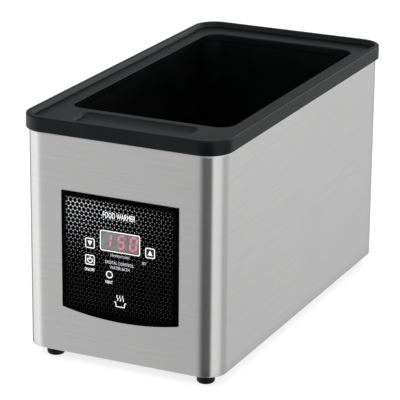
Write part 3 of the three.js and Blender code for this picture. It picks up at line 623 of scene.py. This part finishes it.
copper = Finish("copper_winding", Metallic=1.0)
turns = copper.node(
    "ShaderNodeTexWave",
    {"bands_direction": "Z"},
    {"Vector": copper.point, "Scale": 300.0, "Distortion": 0.4},
    1,
)
dress(
    copper.ready(
        Base_Color=copper.blend(turns, tint(120, 60, 30), tint(214, 130, 84)),
        Roughness=0.32 + turns * 0.1,
        Normal=copper.relief(turns, 0.2 * MM),
    ),
    "control_transformer",
)


def covering(name, red, green, blue):
    """The drawn plastic cover of a lead: faint lengthways marks and a waxy gloss."""
    shade = tint(0.82 * red, 0.82 * green, 0.82 * blue)
    return moulded(name, shade, tint(red, green, blue), 0.45, 0.8 * MM, 0.01 * MM, 0.01)


white_cover = covering("white_cover", 226, 226, 220)
dress(white_cover, "terminal_block", "lead_neutral", "lead_probe")
dress(covering("black_cover", 34, 34, 36), "lead_line")
dress(covering("green_cover", 60, 130, 60), "lead_earth")
dress(covering("red_cover", 168, 44, 36), "lead_heater_line", "lead_heater_neutral")

# ---------- keys ----------
# Three square caps come forward through the film on their plungers. Each is moulded in black with a
# softly crowned face, and its frame and sign are printed on it in white.


def upright(points, x=0.0, z=0.0):
    """Turns a shape made on the flat to face forward: what was up points to the front."""
    flat_x, flat_y, up = np.moveaxis(points, -1, 0)
    return np.stack([flat_x + x, -up, flat_y + z], axis=-1)


def scaled_outline(half, radius, share, height):
    """A rounded square as a loop shrunk by share about its middle, at a height."""
    loop, _ = outline(half, half, radius, corner=6, across=6, along=6)
    return np.concatenate([loop * share, np.full((len(loop), 1), height)], axis=1)


def stencil(name, front, thick, loops=(), words=(), weight=0.0):
    """Flat shapes that face forward. Closed loops of (x, z) are filled, except where one lies
    inside another. Each of words is (text, low x, low z, high x, high z): the text is set in the
    plain face and drawn out to fill that box, its strokes thickened by weight of the face's height.
    All of it reaches from front back by thick."""
    work = bmesh.new()
    curve = bpy.data.curves.new(name, "CURVE")
    curve.dimensions, curve.fill_mode, curve.extrude = "2D", "BOTH", 0.5
    for loop in loops:
        line = curve.splines.new("POLY")
        line.points.add(len(loop) - 1)
        flat = np.concatenate([np.array(loop, float), [[0, 1]] * len(loop)], axis=1)
        line.points.foreach_set("co", flat.ravel())
        line.use_cyclic_u = True
    sources = [(curve, None)] if loops else []
    for text, *corners in words:
        letters = bpy.data.curves.new(name, "FONT")
        letters.body, letters.extrude, letters.resolution_u, letters.offset = text, 0.5, 3, weight
        sources.append((letters, corners))
    for data, corners in sources:
        holder = bpy.data.objects.new(name, data)
        bpy.context.scene.collection.objects.link(holder)
        flat = bpy.data.meshes.new_from_object(holder)
        co = np.zeros(len(flat.vertices) * 3, np.float32)
        flat.vertices.foreach_get("co", co)
        co = co.reshape(-1, 3)
        if corners:
            low, high = co.min(0), co.max(0)
            for axis in (0, 1):
                share = (co[:, axis] - low[axis]) / (high[axis] - low[axis])
                co[:, axis] = corners[axis] + share * (corners[axis + 2] - corners[axis])
        placed = np.stack([co[:, 0], front + thick * (0.5 - co[:, 2]), co[:, 1]], axis=-1)
        flat.vertices.foreach_set("co", placed.ravel())
        work.from_mesh(flat)
        bpy.data.objects.remove(holder)
        bpy.data.meshes.remove(flat)
    mesh = bpy.data.meshes.new(name)
    bmesh.ops.remove_doubles(work, verts=work.verts, dist=1e-6)
    work.to_mesh(mesh)
    work.free()
    piece = bpy.data.objects.new(name, mesh)
    bpy.context.scene.collection.objects.link(piece)
    return piece


def square(x, z, width, height, radius, grow=0.0):
    """A rounded rectangle about (x, z) as a loop of (x, z) points, grown by an offset."""
    loop, out = outline(width / 2, height / 2, radius, corner=6, across=1, along=1)
    return (loop + out * grow + [x, z]).tolist()


def circle(x, z, radius):
    """Forty points once round a circle."""
    return rounded(x, z, radius, 0, 360, 40)[:-1]


def band(x, z, radius, width, start, end):
    """A thick arc about (x, z) as one closed loop: out along one side and back along the other."""
    outer = rounded(x, z, radius + width / 2, start, end, 40)
    return outer + rounded(x, z, radius - width / 2, end, start, 40)


def printing(name, dark, light):
    """Screen-printed ink: a slightly uneven coat with a dull face."""
    skin = Finish(name)
    coat = skin.noise(0.0006, 2)
    return skin.ready(
        Base_Color=skin.blend(coat.fade(0.3, 0.7), dark, light),
        Roughness=0.55 + (coat - 0.5) * 0.2,
        Normal=skin.relief(coat, 0.004 * MM),
    )


white_ink = printing("white_ink", tint(232, 232, 232), tint(248, 248, 248))
key_black = moulded(
    "key_plastic", tint(10, 10, 11), tint(16, 16, 18), 0.4, 0.4 * MM, 0.006 * MM, 0.01
)
INK = 0.05 * MM
KEYS = ("down", "power", "up")
HALF_KEY = 5 * MM
KEY_ROUND = 1.6 * MM
HALF_KEY_FLANGE = 6 * MM
KEY_FLANGE_ROUND = 1.8 * MM
KEY_FRAME_OUTSIDE = 9.7 * MM
KEY_FRAME_INSIDE = 7.9 * MM
SIGN_THICK = 0.13 * MM
SIGN_PROUD = 0.02 * MM


def triangle(x, z, up):
    """A filled triangle about (x, z), pointing up or down, with its tip cut 0.5 mm wide."""
    side, tip, tall = 2.4 * MM, 0.25 * MM, 2.2 * MM * (1 if up else -1)
    return [(x - side, z - tall), (x + side, z - tall), (x + tip, z + tall), (x - tip, z + tall)]


for key in KEYS:
    low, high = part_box(f"key_{key}")
    x, _, z = middle_of(f"key_{key}")
    front, back = -low.y, -high.y
    flange_loops = [(0.0, back), (1.0, back), (1.0, CASE[1])]
    crown = [(1.0, 0.4), (0.985, 0.2), (0.95, 0.1), (0.8, 0.06), (0.4, 0.02), (0.0, 0.0)]
    cap_loops = [(1.0, CASE[1])] + [(share, front - drop * MM) for share, drop in crown]
    loops = [scaled_outline(HALF_KEY_FLANGE, KEY_FLANGE_ROUND, *loop) for loop in flange_loops]
    loops += [scaled_outline(HALF_KEY, KEY_ROUND, *loop) for loop in cap_loops]
    cap = surface(f"cap_{key}", upright(np.stack(loops, axis=1), x, z))
    dress(key_black, cap)
    fitted(cap, f"{key}_key", "printed_film", f"key_{key}")
    frame_line = [
        square(x, z, KEY_FRAME_OUTSIDE, KEY_FRAME_OUTSIDE, 1.7 * MM),
        square(x, z, KEY_FRAME_INSIDE, KEY_FRAME_INSIDE, 0.9 * MM),
    ]
    if key == "power":
        sign = [
            band(x, z - 0.2 * MM, 2.35 * MM, 1.0 * MM, 128, 412),
            square(x, z + 1.6 * MM, 1.05 * MM, 2.9 * MM, 0.1 * MM),
        ]
    else:
        sign = [triangle(x, z + 0.1 * MM, key == "up")]
    sign_print = stencil(f"print_{key}", -front - SIGN_PROUD, SIGN_THICK, frame_line + sign)
    dress(white_ink, sign_print)
    fitted(sign_print, f"{key}_key", "printed_film")

# ---------- display and lamp ----------
# A smoked lens sits in the film's opening over a three-digit display, with the lit segments behind
# it. Below it a small round lens carries the heating lamp's light forward.

lens = Finish("smoked_lens")
across_lens = lens.node("ShaderNodeSeparateXYZ", {}, {"Vector": lens.point}, 0)
cloud = lens.noise(0.004, 3, (1, 1, 3))
toward_right = across_lens.fade(-16 * MM, 16 * MM)
lens_colour = lens.blend(cloud.fade(0.3, 0.7), tint(100, 105, 104), tint(120, 124, 120))
dress(
    lens.ready(
        Base_Color=lens.blend(toward_right, lens_colour, tint(114, 94, 96)),
        Roughness=0.24 + (cloud - 0.5) * 0.1,
    ),
    "display_window",
)

DIGIT_LOW = 121.8 * MM
DIGIT_TALL = 14.2 * MM
DIGIT_WIDE = 8.1 * MM
STROKE = 2.2 * MM
BAR_GAP = 0.12 * MM
LEAN = 0.13


def segment(name, left):
    """One bar of a seven-segment digit as a closed loop, leaning to the right by LEAN of its
    height. The bar runs between two corners of the digit's middle lines, and each end is a point
    that stops BAR_GAP short of its corner, so no two bars touch."""
    half = STROKE / 2
    x = (half, DIGIT_WIDE - half)
    z = (half, DIGIT_TALL / 2, DIGIT_TALL - half)
    ends = {"a": (0, 2, 1, 2), "b": (1, 1, 1, 2), "c": (1, 0, 1, 1), "d": (0, 0, 1, 0)}
    ends |= {"e": (0, 0, 0, 1), "f": (0, 1, 0, 2), "g": (0, 1, 1, 1)}
    x0, z0, x1, z1 = ends[name]
    start, end = np.array([x[x0], z[z0]]), np.array([x[x1], z[z1]])
    along = (end - start) / np.linalg.norm(end - start)
    aside = np.array([-along[1], along[0]]) * half
    tip, shoulder = along * BAR_GAP, along * (BAR_GAP + half)
    loop = [start + tip, start + shoulder - aside, end - shoulder - aside]
    loop += [end - tip, end - shoulder + aside, start + shoulder + aside]
    return [(left + px + LEAN * pz, DIGIT_LOW + pz) for px, pz in loop]


lens_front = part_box("display_window")[0].y
DIGITS = {"1": -15.9 * MM, "5": -2.3 * MM, "0": 10.1 * MM}
LIT = {"1": "bc", "5": "afgcd", "0": "abcdef"}
lit_bars, dark_bars = [], []
for digit, left in DIGITS.items():
    lit_bars += [segment(bar, left) for bar in LIT[digit]]
    dark_bars += [segment(bar, left) for bar in "abcdefg" if bar not in LIT[digit]]
glow = Finish("lit_segment", Emission_Strength=0.06)
flicker = glow.noise(0.002, 2)
red = glow.blend(flicker.fade(0.3, 0.7), tint(176, 108, 126), tint(190, 126, 144))
lit_ink = glow.ready(Base_Color=red, Emission_Color=red, Roughness=0.4 + (flicker - 0.5) * 0.2)
lit = stencil("lit_segments", lens_front - INK, INK * 1.6, lit_bars)
dress(lit_ink, lit)
fitted(lit, "case", "smoked_lens")
unlit = stencil("unlit_segments", lens_front - INK / 2, INK, dark_bars)
dress(printing("unlit_segment", tint(112, 113, 115), tint(126, 124, 127)), unlit)
fitted(unlit, "case", "smoked_lens")

low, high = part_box("heat_indicator_lens")
lamp_x, _, lamp_z = middle_of("heat_indicator_lens")
lamp_front, lamp_back = -low.y, -high.y
LAMP_RADIUS = 2.2 * MM
lamp_profile = [
    (0, lamp_back),
    (LAMP_RADIUS, lamp_back),
    (LAMP_RADIUS, lamp_front - 0.2 * MM),
    (2.1 * MM, lamp_front - 0.05 * MM),
    (1.4 * MM, lamp_front + 0.12 * MM),
    (0, lamp_front + 0.2 * MM),
]
lamp = surface("lamp_lens", upright(turned(lamp_profile, 32), lamp_x, lamp_z), sharp=50)
lamp_plastic = moulded(
    "lamp_plastic", tint(24, 20, 22), tint(34, 28, 30), 0.18, 0.5 * MM, 0.002 * MM, 0.002
)
dress(lamp_plastic, lamp)
fitted(lamp, "case", "smoked_lens", "heat_indicator_lens")

# ---------- control film ----------
# A 0.6 mm polyester film, printed from behind with a honeycomb that fades away to the right and
# downwards, is glued over the window. It has a bowed bottom edge and openings for keys and display.

film_low, film_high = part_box("control_overlay")
FILM_X = middle_of("control_overlay")[0]
FILM_HALF = (film_high.x - film_low.x) / 2
SIDES_END = 57.9 * MM
bow = SIDES_END - film_low.z
bow_radius = (FILM_HALF**2 + bow**2) / (2 * bow)
bow_centre = film_low.z + bow_radius
sweep = math.degrees(math.asin(FILM_HALF / bow_radius))
DISPLAY = (1.7 * MM, 128.4 * MM, 38.3 * MM, 17.6 * MM, 1.3 * MM)  # x, z, width, height, radius
film_edge = [(FILM_X + FILM_HALF, film_high.z), (FILM_X - FILM_HALF, film_high.z)]
film_edge += rounded(FILM_X, bow_centre, bow_radius, -90 - sweep, -90 + sweep, 48)
KEY_OPENING = 10.6 * MM
openings = [square(*DISPLAY), circle(lamp_x, lamp_z, 2.5 * MM)]
for key in KEYS:
    x, _, z = middle_of(f"key_{key}")
    openings.append(square(x, z, KEY_OPENING, KEY_OPENING, 1.9 * MM))
film = stencil("control_film", film_low.y, film_high.y - film_low.y, [film_edge] + openings)

# The honeycomb is the sum of three cosine waves, 60 degrees apart, with a hole's middle at HOLE.
PITCH = 4.43 * MM
HOLE = (0.7 * MM, 1.0 * MM)
WEB_START, WEB_THINNED, WEB_SOFT = 0.84, 0.4, 0.42
print_skin = Finish("film_print", Specular_IOR_Level=0.02)
turn_rate = 4 * math.pi / (math.sqrt(3) * PITCH)
waves = None
for angle in (90, 30, -30):
    along_x, along_z = (turn_rate * part(math.radians(angle)) for part in (math.cos, math.sin))
    phase = print_skin.node(
        "ShaderNodeVectorMath",
        {"operation": "DOT_PRODUCT"},
        {0: print_skin.point, 1: (along_x, 0, along_z)},
        1,
    )
    phase = phase - (along_x * HOLE[0] + along_z * HOLE[1])
    wave = phase.maths("COSINE", phase)
    waves = wave if waves is None else waves + wave
across = print_skin.node("ShaderNodeSeparateXYZ", {}, {"Vector": print_skin.point}, 0)
upward = print_skin.node("ShaderNodeSeparateXYZ", {}, {"Vector": print_skin.point}, 2)
rightward = across.fade(-58 * MM, 60 * MM)
downward = upward.fade(166 * MM, 86 * MM)
thinning = 1 - (1 - rightward) * (1 - downward)
line_low = WEB_START + thinning * WEB_THINNED
web = print_skin.node(
    "ShaderNodeMapRange",
    {"interpolation_type": "SMOOTHSTEP"},
    {"Value": waves * -1, "From Min": line_low, "From Max": line_low + WEB_SOFT},
)
off_middle = across - FILM_X
edge_x = off_middle.maths("ABSOLUTE", off_middle)
inside_x = edge_x.fade(FILM_HALF - 3 * MM, FILM_HALF - 8 * MM)
below_top = upward.fade(film_high.z - 3.5 * MM, film_high.z - 8 * MM)
inside_z = below_top * upward.fade(54 * MM, 68 * MM)
bright = (1 - downward * 0.78) * (1 - rightward * 0.16)
speck = print_skin.noise(0.0011, 1)
mask = web * inside_x * inside_z * bright * (0.8 + speck * 0.4)
dress(
    print_skin.ready(
        Base_Color=print_skin.blend(mask, tint(1, 1, 1), tint(196, 197, 200)),
        Roughness=0.42 + (speck - 0.5) * 0.14,
        Normal=print_skin.relief(speck, 0.003 * MM),
    ),
    film,
)
fitted(film, "case", "printed_film", "control_overlay")

FRAME_OUT = 1.0 * MM
FRAME_LINE = 0.95 * MM
LAMP_RING = 3.5 * MM
legend_loops = [
    square(*DISPLAY, FRAME_OUT),
    square(*DISPLAY, FRAME_OUT - FRAME_LINE),
    circle(lamp_x, lamp_z, LAMP_RING),
    circle(lamp_x, lamp_z, LAMP_RING - FRAME_LINE),
]


def stroke(points, width):
    """A line of even width as one closed loop: each point moves half the width to either side."""
    line = np.array(points, float)
    along = np.gradient(line, axis=0)
    aside = np.stack([-along[:, 1], along[:, 0]], axis=-1)
    aside *= width / 2 / np.linalg.norm(aside, axis=1, keepdims=True)
    return [*(line + aside).tolist(), *(line - aside)[::-1].tolist()]


PAN_ICON = (1.7, 70.9)  # the icon's place and sizes are in millimetres
PAN_SECTION = [
    (-6.1, 0.5), (-4.4, 0.5), (-3.7, -3.6), (3.7, -3.6), (4.4, 0.5), (6.1, 0.5),
    (6.1, -0.3), (5.1, -0.3), (4.4, -4.4), (-4.4, -4.4), (-5.1, -0.3), (-6.1, -0.3),
]
WAVE_LOW, WAVE_TALL, WAVE_SWAY = 1.6, 5.6, 0.55
legend_loops.append([((PAN_ICON[0] + x) * MM, (PAN_ICON[1] + z) * MM) for x, z in PAN_SECTION])
climb = np.linspace(0, 1, 17)
for place in (-2.8, 0, 2.8):
    sway = PAN_ICON[0] + place + WAVE_SWAY * np.sin(2 * np.pi * climb)
    heat_wave = np.stack([sway, PAN_ICON[1] + WAVE_LOW + WAVE_TALL * climb], axis=-1) * MM
    legend_loops.append(stroke(heat_wave, 0.75 * MM))


def placed(*words):
    """Words with their boxes given in millimetres."""
    return [(text, *(value * MM for value in box)) for text, *box in words]


legend_front = film_low.y - INK
plain_words = placed(
    ("FOOD WARMER", -15.5, 150.0, 17.0, 155.6),
    ("ON/OFF", -34.2, 96.7, -24.2, 99.6),
    ("HEAT", -13.2, 87.8, -5.9, 90.6),
)
legends = stencil("film_legends", legend_front, INK * 1.5, legend_loops, plain_words, 0.01)
dress(white_ink, legends)
fitted(legends, "case", "printed_film")

grey_ink = printing("grey_ink", tint(178, 179, 181), tint(206, 207, 209))
small_words = placed(
    ("TEMPERATURE", -8.6, 114.2, 10.9, 116.3),
    ("DIGITAL CONTROL", -13.3, 106.9, 15.5, 109.8),
    ("WATER BATH", -8.7, 102.3, 11.2, 105.2),
    ("SET", 23.6, 111.4, 28.2, 113.8),
)
small_print = stencil("film_small_print", legend_front, INK * 1.5, (), small_words, 0.008)
dress(grey_ink, small_print)
fitted(small_print, "case", "printed_film")

# ---------- supply inlet and rating plate ----------
# The moulded appliance inlet is screwed over its cut-out low on the back, with brass pins in a deep
# cup. Beside it a thin aluminium plate is glued on, left blank.

dress(housing_black, "inlet_shell")
brass = bare_metal("pin_brass", tint(186, 160, 96), tint(220, 196, 130), 0.3, size=0.002)
dress(brass, "inlet_pin_neutral", "inlet_pin_line", "inlet_pin_earth")


HEAD_RADIUS = 2.8 * MM
HEAD_TALL = 1.1 * MM
HEAD_LAP = 0.05 * MM
CROSS_DEEP = 0.8 * MM
HEAD_STEPS = 48


def screw_head(radius, crown, recess):
    """A pan head with a cross recess as height over a disc: a flat dome falls off at the edge, and
    the recess is as deep as the nearer of its two arms is close, tapering to the arm's end."""
    r = np.linspace(0, 1, 21)[::-1][None, :] * radius
    t = np.linspace(0, 2 * np.pi, HEAD_STEPS, endpoint=False)[:, None]
    x, y = r * np.sin(t), r * np.cos(t)
    dome = crown * np.sqrt(np.maximum(1 - (r / radius) ** 4, 0)) + 0 * t
    arm = np.minimum(np.abs(x), np.abs(y)) / (0.14 * radius)
    reach = np.maximum(np.abs(x), np.abs(y)) / (0.62 * radius)
    cross = np.clip(1.6 - arm * 1.2, 0, 1) * np.clip(3 * (1 - reach), 0, 1)
    return np.stack([x, y, dome - recess * cross], axis=-1)


for side in ("left", "right"):
    head = screw_head(HEAD_RADIUS, HEAD_TALL, CROSS_DEEP)
    skirt = turned([(0, -HEAD_LAP), (HEAD_RADIUS, -HEAD_LAP)], HEAD_STEPS)
    whole = np.concatenate([skirt, head], axis=1)
    turned_back = np.stack([-whole[..., 0], whole[..., 2], whole[..., 1]], axis=-1)
    x, _, z = middle_of(f"inlet_screw_{side}")
    seat = [x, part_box(f"inlet_screw_{side}")[1].y - HEAD_TALL - HEAD_LAP, z]
    inlet_head = surface(f"inlet_head_{side}", turned_back + seat, sharp=40)
    dress(screw_steel, inlet_head)
    fitted(inlet_head, "case", "plain_steel", f"inlet_screw_{side}")

plate_skin = Finish("plate_aluminium", Metallic=0.9)
plate_marks = plate_skin.noise(0.0007, 3, (20, 1, 1))
plate_cloud = plate_skin.noise(0.02, 2)
dress(
    plate_skin.ready(
        Base_Color=plate_skin.blend(
            plate_marks.fade(0.3, 0.7), tint(196, 198, 200), tint(222, 223, 224)
        ),
        Roughness=0.4 + (plate_cloud - 0.5) * 0.15,
        Normal=plate_skin.relief(plate_marks, 0.005 * MM),
    ),
    "rating_plate",
)

# ---------- floor, light and camera ----------
# A plain pale floor in a white surround, with soft light from panels round the object and from two
# area lights, and a long lens on a tripod in front of the near right corner. The panels reflect in
# the steel: bright ones stand left, right and behind on the right, and a dark flag stands in front.

FLOOR_LINES = np.linspace(-6, 6, 13)
floor_x, floor_y = np.meshgrid(FLOOR_LINES, FLOOR_LINES, indexing="ij")
floor_points = np.stack([floor_x, floor_y, np.zeros_like(floor_x)], axis=-1)
floor = surface("studio_floor", floor_points[::-1], ring=False)
paper = Finish("floor_paper", Roughness=0.95, Emission_Strength=0.78)
mottle = paper.noise(0.5, 2)
pale = paper.blend(mottle, tint(250, 250, 250), tint(255, 255, 255))
grey = paper.blend(mottle, tint(150, 150, 150), tint(156, 156, 156))
dress(paper.ready(Base_Color=grey, Emission_Color=pale), floor)
floor.visible_glossy = False

world = bpy.data.worlds.new("studio")
bpy.context.scene.world = world
world.use_nodes = True


class Surround(Finish):
    """The surround's own nodes, mixed in the same way as a finish."""

    def __init__(self):
        self.tree = world.node_tree
        self.tree.nodes.clear()


sky = Surround()
view = sky.node("ShaderNodeTexCoord", out="Generated")
east = sky.node("ShaderNodeSeparateXYZ", {}, {"Vector": view}, 0)
north = sky.node("ShaderNodeSeparateXYZ", {}, {"Vector": view}, 1)
rise = sky.node("ShaderNodeSeparateXYZ", {}, {"Vector": view}, 2)
bearing = east.maths("ARCTAN2", east, north * -1) / (2 * math.pi) + 0.5
# Brightness at bearings in degrees from straight in front, positive to the right. It blends evenly
# from each bearing to the next, and the low panels give way to the high ones over the last 8
# degrees below level.
LOW_PANELS = [
    (-180, 0.5), (-120, 0.3), (-110, 1.1), (-60, 1.3), (-40, 0.8), (-25, 0.6), (-10, 0.3),
    (5, 0.05), (40, 0.05), (55, 1.0), (90, 0.9), (110, 0.5), (140, 0.5), (155, 0.7), (165, 0.5),
    (180, 0.5),
]
HIGH_PANELS = [
    (-180, 0.3), (-120, 0.3), (-60, 0.5), (0, 0.5), (60, 0.9), (120, 1.0), (140, 1.6), (160, 1.6),
    (175, 0.3), (180, 0.3),
]
BRIGHTEST = 1.75
low_light, high_light = (
    sky.node(
        "ShaderNodeValToRGB",
        {"stops": [((side + 180) / 360, (*[value / BRIGHTEST] * 3, 1)) for side, value in panels]},
        {"Fac": bearing},
    )
    for panels in (LOW_PANELS, HIGH_PANELS)
)
around = sky.blend(rise.fade(-0.14, 0.0), low_light, high_light)
lowest = rise.fade(-0.4, -0.3) * 0.2 + 0.8
seen = sky.node("ShaderNodeLightPath", out="Is Camera Ray")
strength = lowest * BRIGHTEST
panel_light = sky.node("ShaderNodeBackground", {}, {"Color": around, "Strength": strength})
backdrop = sky.node("ShaderNodeBackground", {}, {"Color": (1, 1, 1, 1), "Strength": 1.0})
both = sky.node("ShaderNodeMixShader", {}, {0: seen, 1: panel_light, 2: backdrop})
ending = sky.tree.nodes.new("ShaderNodeOutputWorld")
sky.join(ending.inputs["Surface"], both)


def soft_panel(name, place, aim, width, power):
    """A square area light, of a power in watts, that faces aim and doesn't show in gloss."""
    light = bpy.data.lights.new(name, "AREA")
    light.size, light.energy = width, power
    holder = bpy.data.objects.new(name, light)
    bpy.context.scene.collection.objects.link(holder)
    holder.location = place
    holder.rotation_euler = (Vector(aim) - Vector(place)).to_track_quat("-Z", "Y").to_euler()
    holder.visible_glossy = False


soft_panel("front_panel", (-0.6, -1.9, 1.5), (0, 0, 0.12), 1.2, 34)
soft_panel("top_panel", (0.5, 0.3, 2.2), (0, 0, 0.1), 1.6, 22)

TRIPOD_PLACE = (0.86512, -1.86719, 0.80149)
TRIPOD_TURN = (25.1552, 18.581, 0.5009)  # azimuth, elevation and roll in degrees
camera = bpy.data.cameras.new("tripod_camera")
camera.lens, camera.sensor_width = 200.939, 36
tripod = bpy.data.objects.new("tripod_camera", camera)
bpy.context.scene.collection.objects.link(tripod)
azimuth, elevation, roll = (math.radians(turn) for turn in TRIPOD_TURN)
tripod.matrix_world = (
    Matrix.Translation(TRIPOD_PLACE)
    @ Euler((0, 0, azimuth)).to_matrix().to_4x4()
    @ Euler((math.pi / 2 - elevation, 0, 0)).to_matrix().to_4x4()
    @ Euler((0, 0, roll)).to_matrix().to_4x4()
)
bpy.context.scene.camera = tripod
bpy.context.scene.view_settings.view_transform = "Standard"
